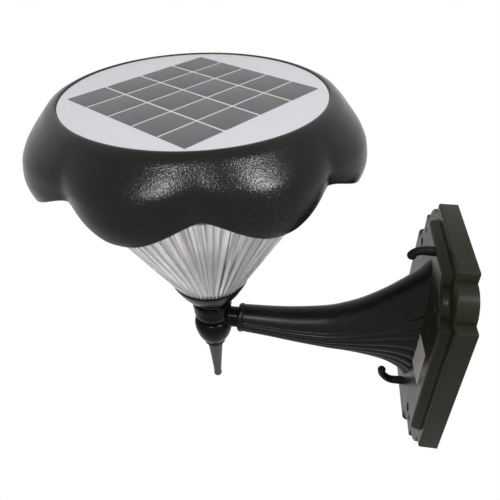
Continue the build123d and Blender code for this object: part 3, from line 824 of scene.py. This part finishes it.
# distance from the wall against the middle's height, the half width and the half height
ARM_MIDDLE = [(17.0, 4.0), (23.0, 2.6), (31.0, 0.8), (43.0, -2.6), (58.0, -6.4), (77.0, -9.5), (98.0, -10.1),
              (118.0, -9.5), (133.2, -8.9)]
ARM_HALF_WIDTH = [(17.0, 18.0), (23.0, 17.0), (31.0, 16.2), (43.0, 15.4), (58.0, 14.4), (77.0, 13.4), (98.0, 12.0),
                  (118.0, 10.6), (133.2, 9.8)]
ARM_HALF_HEIGHT = [(17.0, 51.0), (23.0, 42.6), (31.0, 35.4), (43.0, 27.6), (58.0, 20.8), (77.0, 15.8), (98.0, 12.7),
                   (118.0, 10.7), (133.2, 9.8)]
REEDS = 8
FIRST_GROOVE = 21.0
REED_STEP = 12.0
GROOVE_DEPTH = 1.35
GROOVE_CROWN = 0.6
GROOVE_LEAST = 0.22
THIN_RADIUS = 9.8
BEAD = 10.3
BEAD_LENGTH = 4.4
BEAD_ROUNDING = 0.42
BEAD_FACE = 7.4


def groove(degrees):
    """1 at the bottom of a groove, 0 on the crown of a reed and on the smooth top and keel."""
    side = degrees if abs(degrees) <= 90 else (180 - abs(degrees)) * (1 if degrees > 0 else -1)
    count = (FIRST_GROOVE - side) / REED_STEP
    if not -0.5 < count < REEDS - 0.5:
        return 0.0
    return 1 - abs(math.sin(math.pi * count)) ** GROOVE_CROWN


# %% Build the arm
ARM_ROWS = 72
ARM_COLUMNS = 240
ARM_CROWDING = 1.15
BEAD_STEPS = 6


def arm_row(depth, carve, radius=None):
    across = radius or smooth_value(ARM_HALF_WIDTH, depth)
    upright = radius or smooth_value(ARM_HALF_HEIGHT, depth)
    height = smooth_value(ARM_MIDDLE, depth)
    row = []
    for k in range(ARM_COLUMNS):
        degrees = -180 + 360 * k / ARM_COLUMNS
        a = math.radians(degrees)
        cut = carve * groove(degrees)
        row.append(Vector(((across - cut) * math.cos(a), -depth, height + (upright - cut) * math.sin(a))) * MM)
    return row


def arm_rows():
    rows = []
    root = ARM_HALF_HEIGHT[0][1]
    for i in range(ARM_ROWS):
        depth = PLATE_FRONT + (ARM_END - PLATE_FRONT) * (i / (ARM_ROWS - 1)) ** ARM_CROWDING
        grow = (smooth_value(ARM_HALF_HEIGHT, depth) - THIN_RADIUS) / (root - THIN_RADIUS)
        share = GROOVE_LEAST + (1 - GROOVE_LEAST) * math.sqrt(max(grow, 0.0))
        rows.append(arm_row(depth, GROOVE_DEPTH * share))
    edge = BEAD_LENGTH * BEAD_ROUNDING
    turns = [math.pi / 2 * i / BEAD_STEPS for i in range(BEAD_STEPS + 1)]
    for t in turns:
        rows.append(arm_row(ARM_END + edge * (1 - math.cos(t)), 0.0, BEAD - edge * (1 - math.sin(t))))
    for t in turns:
        rows.append(arm_row(ARM_END + BEAD_LENGTH - edge * (1 - math.sin(t)), 0.0, BEAD - edge * (1 - math.cos(t))))
    rows.append(arm_row(ARM_END + BEAD_LENGTH, 0.0, BEAD_FACE))
    return rows


finished(
    grid_object("reeded_arm", arm_rows(), cap_ends=True), SATIN_BLACK, "bracket", "arm",
    math.radians(40),
)

# %% [markdown]
# ## The wall plate
#
# The plate is a hollow moulding: a flat rim, then a rounded step up to a raised field. Both outlines have the same
# kind of corner, a quarter round between two small steps. A function draws that outline at any inset, so the
# plate's side, its rounded edges and the hollow behind are rows of one grid. The flat field and the hollow's floor
# are filled last, round the screw holes and their bosses. The edges need their rounding: it is what catches the
# light in the photograph.

# %% Sizes of the wall plate
RIM = (115.0, 149.7, 22.6, 6.9)
FIELD = (99.0, 133.7, 21.5, 8.5)
HOLLOW = (93.8, 128.5, 21.5, 8.5)
HOLLOW_DEPTH = 14.4
SCREW_PLACES = [(sx * 32.5, sz * 45.7) for sx in (-1, 1) for sz in (-1, 1)]
SCREW_HOLE = 2.65
BOSS = 5.5
CIRCLE_STEPS = 32
ARC_STEPS = 14
STEP_ROUNDING = 0.7
# inset and depth of each row, from the back edge of the rim to the edge of the field
RIM_ROWS = [(0.0, 0.0), (0.0, 10.4), (0.0, 10.7), (0.1, 11.1), (0.35, 11.45), (0.8, 11.7), (1.2, 11.7), (3.4, 11.7)]
FIELD_ROWS = [(-1.7, 11.7), (-1.3, 11.7), (-0.75, 11.9), (-0.3, 12.35), (-0.05, 13.0), (0.1, 14.2), (0.15, 14.6),
              (0.35, 15.5), (0.8, 16.3), (1.5, 16.85), (2.3, 17.0), (2.8, 17.0)]
# how much wider than the hole, and how far below the field, each ring of a screw hole's worn edge is
HOLE_EDGE = [(0.8, 0.0), (0.5, 0.0), (0.1, 0.2), (0.0, 0.7)]


def plate_outline(kind, inset=0.0):
    """Points (x, z) of a plate outline; the outer corners of the steps are a little rounded."""
    width, height, size, notch = kind
    w, h = width / 2 - inset, height / 2 - inset
    cx, cz = width / 2 - size, height / 2 - size
    radius = size - notch - inset
    lean = math.asin(max(-1.0, min(1.0, -inset / radius)))
    soft = STEP_ROUNDING
    bends = [math.pi / 2 * k / 4 for k in range(5)]
    quarter = [(w - soft + soft * math.cos(t), cz - inset - soft + soft * math.sin(t)) for t in bends]
    for k in range(ARC_STEPS + 1):
        turn = lean + (math.pi / 2 - 2 * lean) * k / ARC_STEPS
        quarter.append((cx + radius * math.cos(turn), cz + radius * math.sin(turn)))
    quarter += [(cx - inset - soft + soft * math.cos(t), h - soft + soft * math.sin(t)) for t in bends]
    points = list(quarter)
    points += [(-x, z) for x, z in reversed(quarter)]
    points += [(-x, -z) for x, z in quarter]
    points += [(x, -z) for x, z in reversed(quarter)]
    return points


# %% Build the wall plate
def plate_mesh():
    made = bmesh.new()

    def ring(points, depth):
        return [made.verts.new(Vector((x, -depth, z)) * MM) for x, z in points]

    def bridge(first, second):
        count = len(first)
        for k in range(count):
            made.faces.new((first[k], first[(k + 1) % count], second[(k + 1) % count], second[k]))

    def fill(rings):
        edges = []
        for one in rings:
            for k in range(len(one)):
                pair = (one[k], one[(k + 1) % len(one)])
                edges.append(made.edges.get(pair) or made.edges.new(pair))
        bmesh.ops.triangle_fill(made, edges=edges, use_beauty=True, normal=(0, -1, 0))

    rows = [ring(plate_outline(HOLLOW), HOLLOW_DEPTH), ring(plate_outline(HOLLOW), 0.0)]
    rows += [ring(plate_outline(RIM, inset), depth) for inset, depth in RIM_ROWS]
    rows += [ring(plate_outline(FIELD, inset), depth) for inset, depth in FIELD_ROWS]
    for first, second in zip(rows, rows[1:]):
        bridge(first, second)
    fronts, floors = [rows[-1]], [rows[0]]
    for x, z in SCREW_PLACES:
        def circle(radius, depth, x=x, z=z):
            turns = [2 * math.pi * k / CIRCLE_STEPS for k in range(CIRCLE_STEPS)]
            return ring([(x + radius * math.cos(t), z + radius * math.sin(t)) for t in turns], depth)

        hole = [circle(SCREW_HOLE + wider, PLATE_FRONT - lower) for wider, lower in HOLE_EDGE]
        hole += [circle(SCREW_HOLE, 0.0), circle(BOSS, 0.0), circle(BOSS, HOLLOW_DEPTH)]
        for first, second in zip(hole, hole[1:]):
            bridge(first, second)
        fronts.append(hole[0])
        floors.append(hole[-1])
    fill(fronts)
    fill(floors)
    bmesh.ops.recalc_face_normals(made, faces=made.faces)
    mesh = bpy.data.meshes.new("moulded_plate")
    made.to_mesh(mesh)
    made.free()
    return mesh


plate = bpy.data.objects.new("moulded_plate", plate_mesh())
bpy.context.scene.collection.objects.link(plate)
finished(plate, PLATE_BLACK_WITH_PAINTED_LIGHT, "bracket", "wall_plate")

# %% [markdown]
# ## The sticker
#
# A small beige sticker sits on the field beside the arm. It stays blank here. It is a thin sheet with rounded
# corners, because a flat patch of colour would have no edge to catch the light.

# %% Build the sticker
STICKER = [(15.9, -17.8), (37.9, -15.6), (37.6, 11.8), (15.5, 9.1)]
STICKER_THICKNESS = 0.16


def sticker_outline(inset, corner=1.6, steps=5):
    middle_x = sum(x for x, z in STICKER) / 4
    middle_z = sum(z for x, z in STICKER) / 4
    points = []
    for k, (x, z) in enumerate(STICKER):
        x += (inset if x < middle_x else -inset)
        z += (inset if z < middle_z else -inset)
        before, after = Vector(STICKER[k - 1]), Vector(STICKER[(k + 1) % 4])
        here = Vector((x, z))
        start = here + (before - here).normalized() * corner
        end = here + (after - here).normalized() * corner
        for i in range(steps + 1):
            t = i / steps
            points.append(start * (1 - t) ** 2 + here * 2 * t * (1 - t) + end * t * t)
    return points


sticker_rows = []
for inset, depth in ((0.0, PLATE_FRONT), (0.0, PLATE_FRONT + 0.1), (0.1, PLATE_FRONT + STICKER_THICKNESS)):
    sticker_rows.append([Vector((p.x, -depth, p.y)) * MM for p in sticker_outline(inset)])
sticker = grid_object("blank_sticker", sticker_rows, cap_ends=True)
finish(sticker, PAPER)
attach(sticker, "bracket")
print("sticker faces:", len(sticker.data.polygons))

# %% [markdown]
# ## The stage
#
# The photograph has a bare white background. A pale floor lies well under the lamp, and it and the world turn plain
# white to the camera, to reflections and through glass, while the light that falls on the lamp stays at its own
# level. Two soft boxes do the rest. Each makes one of the two highlights on the front petals, so its direction was
# found by mirroring the line of sight in the petal at that highlight.

# %% Floor and world
FLOOR_DROP = 0.22
FLOOR_HALF = 6.0
WORLD_LIGHT = 0.16


def seen_directly(tree):
    """1 for rays from the camera, from reflections and through glass, and 0 for light on its way to a surface."""
    path = tree.nodes.new("ShaderNodeLightPath")
    total = path.outputs["Is Camera Ray"]
    for ray in ("Is Glossy Ray", "Is Transmission Ray"):
        total = calculate(tree, "MAXIMUM", total, path.outputs[ray])
    return total


def make_world():
    world = bpy.data.worlds.new("studio")
    bpy.context.scene.world = world
    world.use_nodes = True
    tree = world.node_tree
    background = tree.nodes["Background"]
    white = tree.nodes.new("ShaderNodeBackground")
    white.inputs["Strength"].default_value = 1.0
    white.inputs["Color"].default_value = (1, 1, 1, 1)
    background.inputs["Color"].default_value = (1, 1, 1, 1)
    background.inputs["Strength"].default_value = WORLD_LIGHT
    mix = tree.nodes.new("ShaderNodeMixShader")
    tree.links.new(seen_directly(tree), mix.inputs["Fac"])
    tree.links.new(background.outputs[0], mix.inputs[1])
    tree.links.new(white.outputs[0], mix.inputs[2])
    tree.links.new(mix.outputs[0], tree.nodes["World Output"].inputs["Surface"])


make_world()


def make_floor():
    low = cad_low.z - FLOOR_DROP
    mesh = bpy.data.meshes.new("floor")
    corners = [(x * FLOOR_HALF, y * FLOOR_HALF, low) for x, y in ((-1, -1), (1, -1), (1, 1), (-1, 1))]
    mesh.from_pydata(corners, [], [(0, 1, 2, 3)])
    floor = bpy.data.objects.new("floor", mesh)
    bpy.context.scene.collection.objects.link(floor)
    material, tree, shader = new_material("pale_floor")
    shader.inputs["Base Color"].default_value = (0.9, 0.9, 0.9, 1)
    shader.inputs["Roughness"].default_value = 0.9
    glow = tree.nodes.new("ShaderNodeEmission")
    glow.inputs["Strength"].default_value = 1.0
    mix = tree.nodes.new("ShaderNodeMixShader")
    tree.links.new(seen_directly(tree), mix.inputs["Fac"])
    tree.links.new(shader.outputs[0], mix.inputs[1])
    tree.links.new(glow.outputs[0], mix.inputs[2])
    tree.links.new(mix.outputs[0], tree.nodes["Material Output"].inputs["Surface"])
    mesh.materials.append(material)


make_floor()


# %% Lamps
def soft_box(name, azimuth, elevation, distance, size, power):
    """Lamp with a soft rectangular face, placed by its direction from the lamp's head."""
    data = bpy.data.lights.new(name, "AREA")
    data.shape = "RECTANGLE"
    data.size, data.size_y = size
    data.energy = power
    lamp = bpy.data.objects.new(name, data)
    bpy.context.scene.collection.objects.link(lamp)
    flat, up = math.radians(azimuth), math.radians(elevation)
    away = Vector((math.cos(up) * math.cos(flat), math.cos(up) * math.sin(flat), math.sin(up)))
    lamp.location = LAMP + away * distance
    lamp.rotation_euler = (-away).to_track_quat("-Z", "Y").to_euler()


# azimuth and elevation in degrees, distance and size in metres, power in watts
soft_box("key_light", -7, 47, 1.2, (0.17, 0.26), 8.5)
soft_box("second_light", 59, 47, 1.2, (0.2, 0.28), 12.0)
print("lamps:", len(bpy.data.lights))
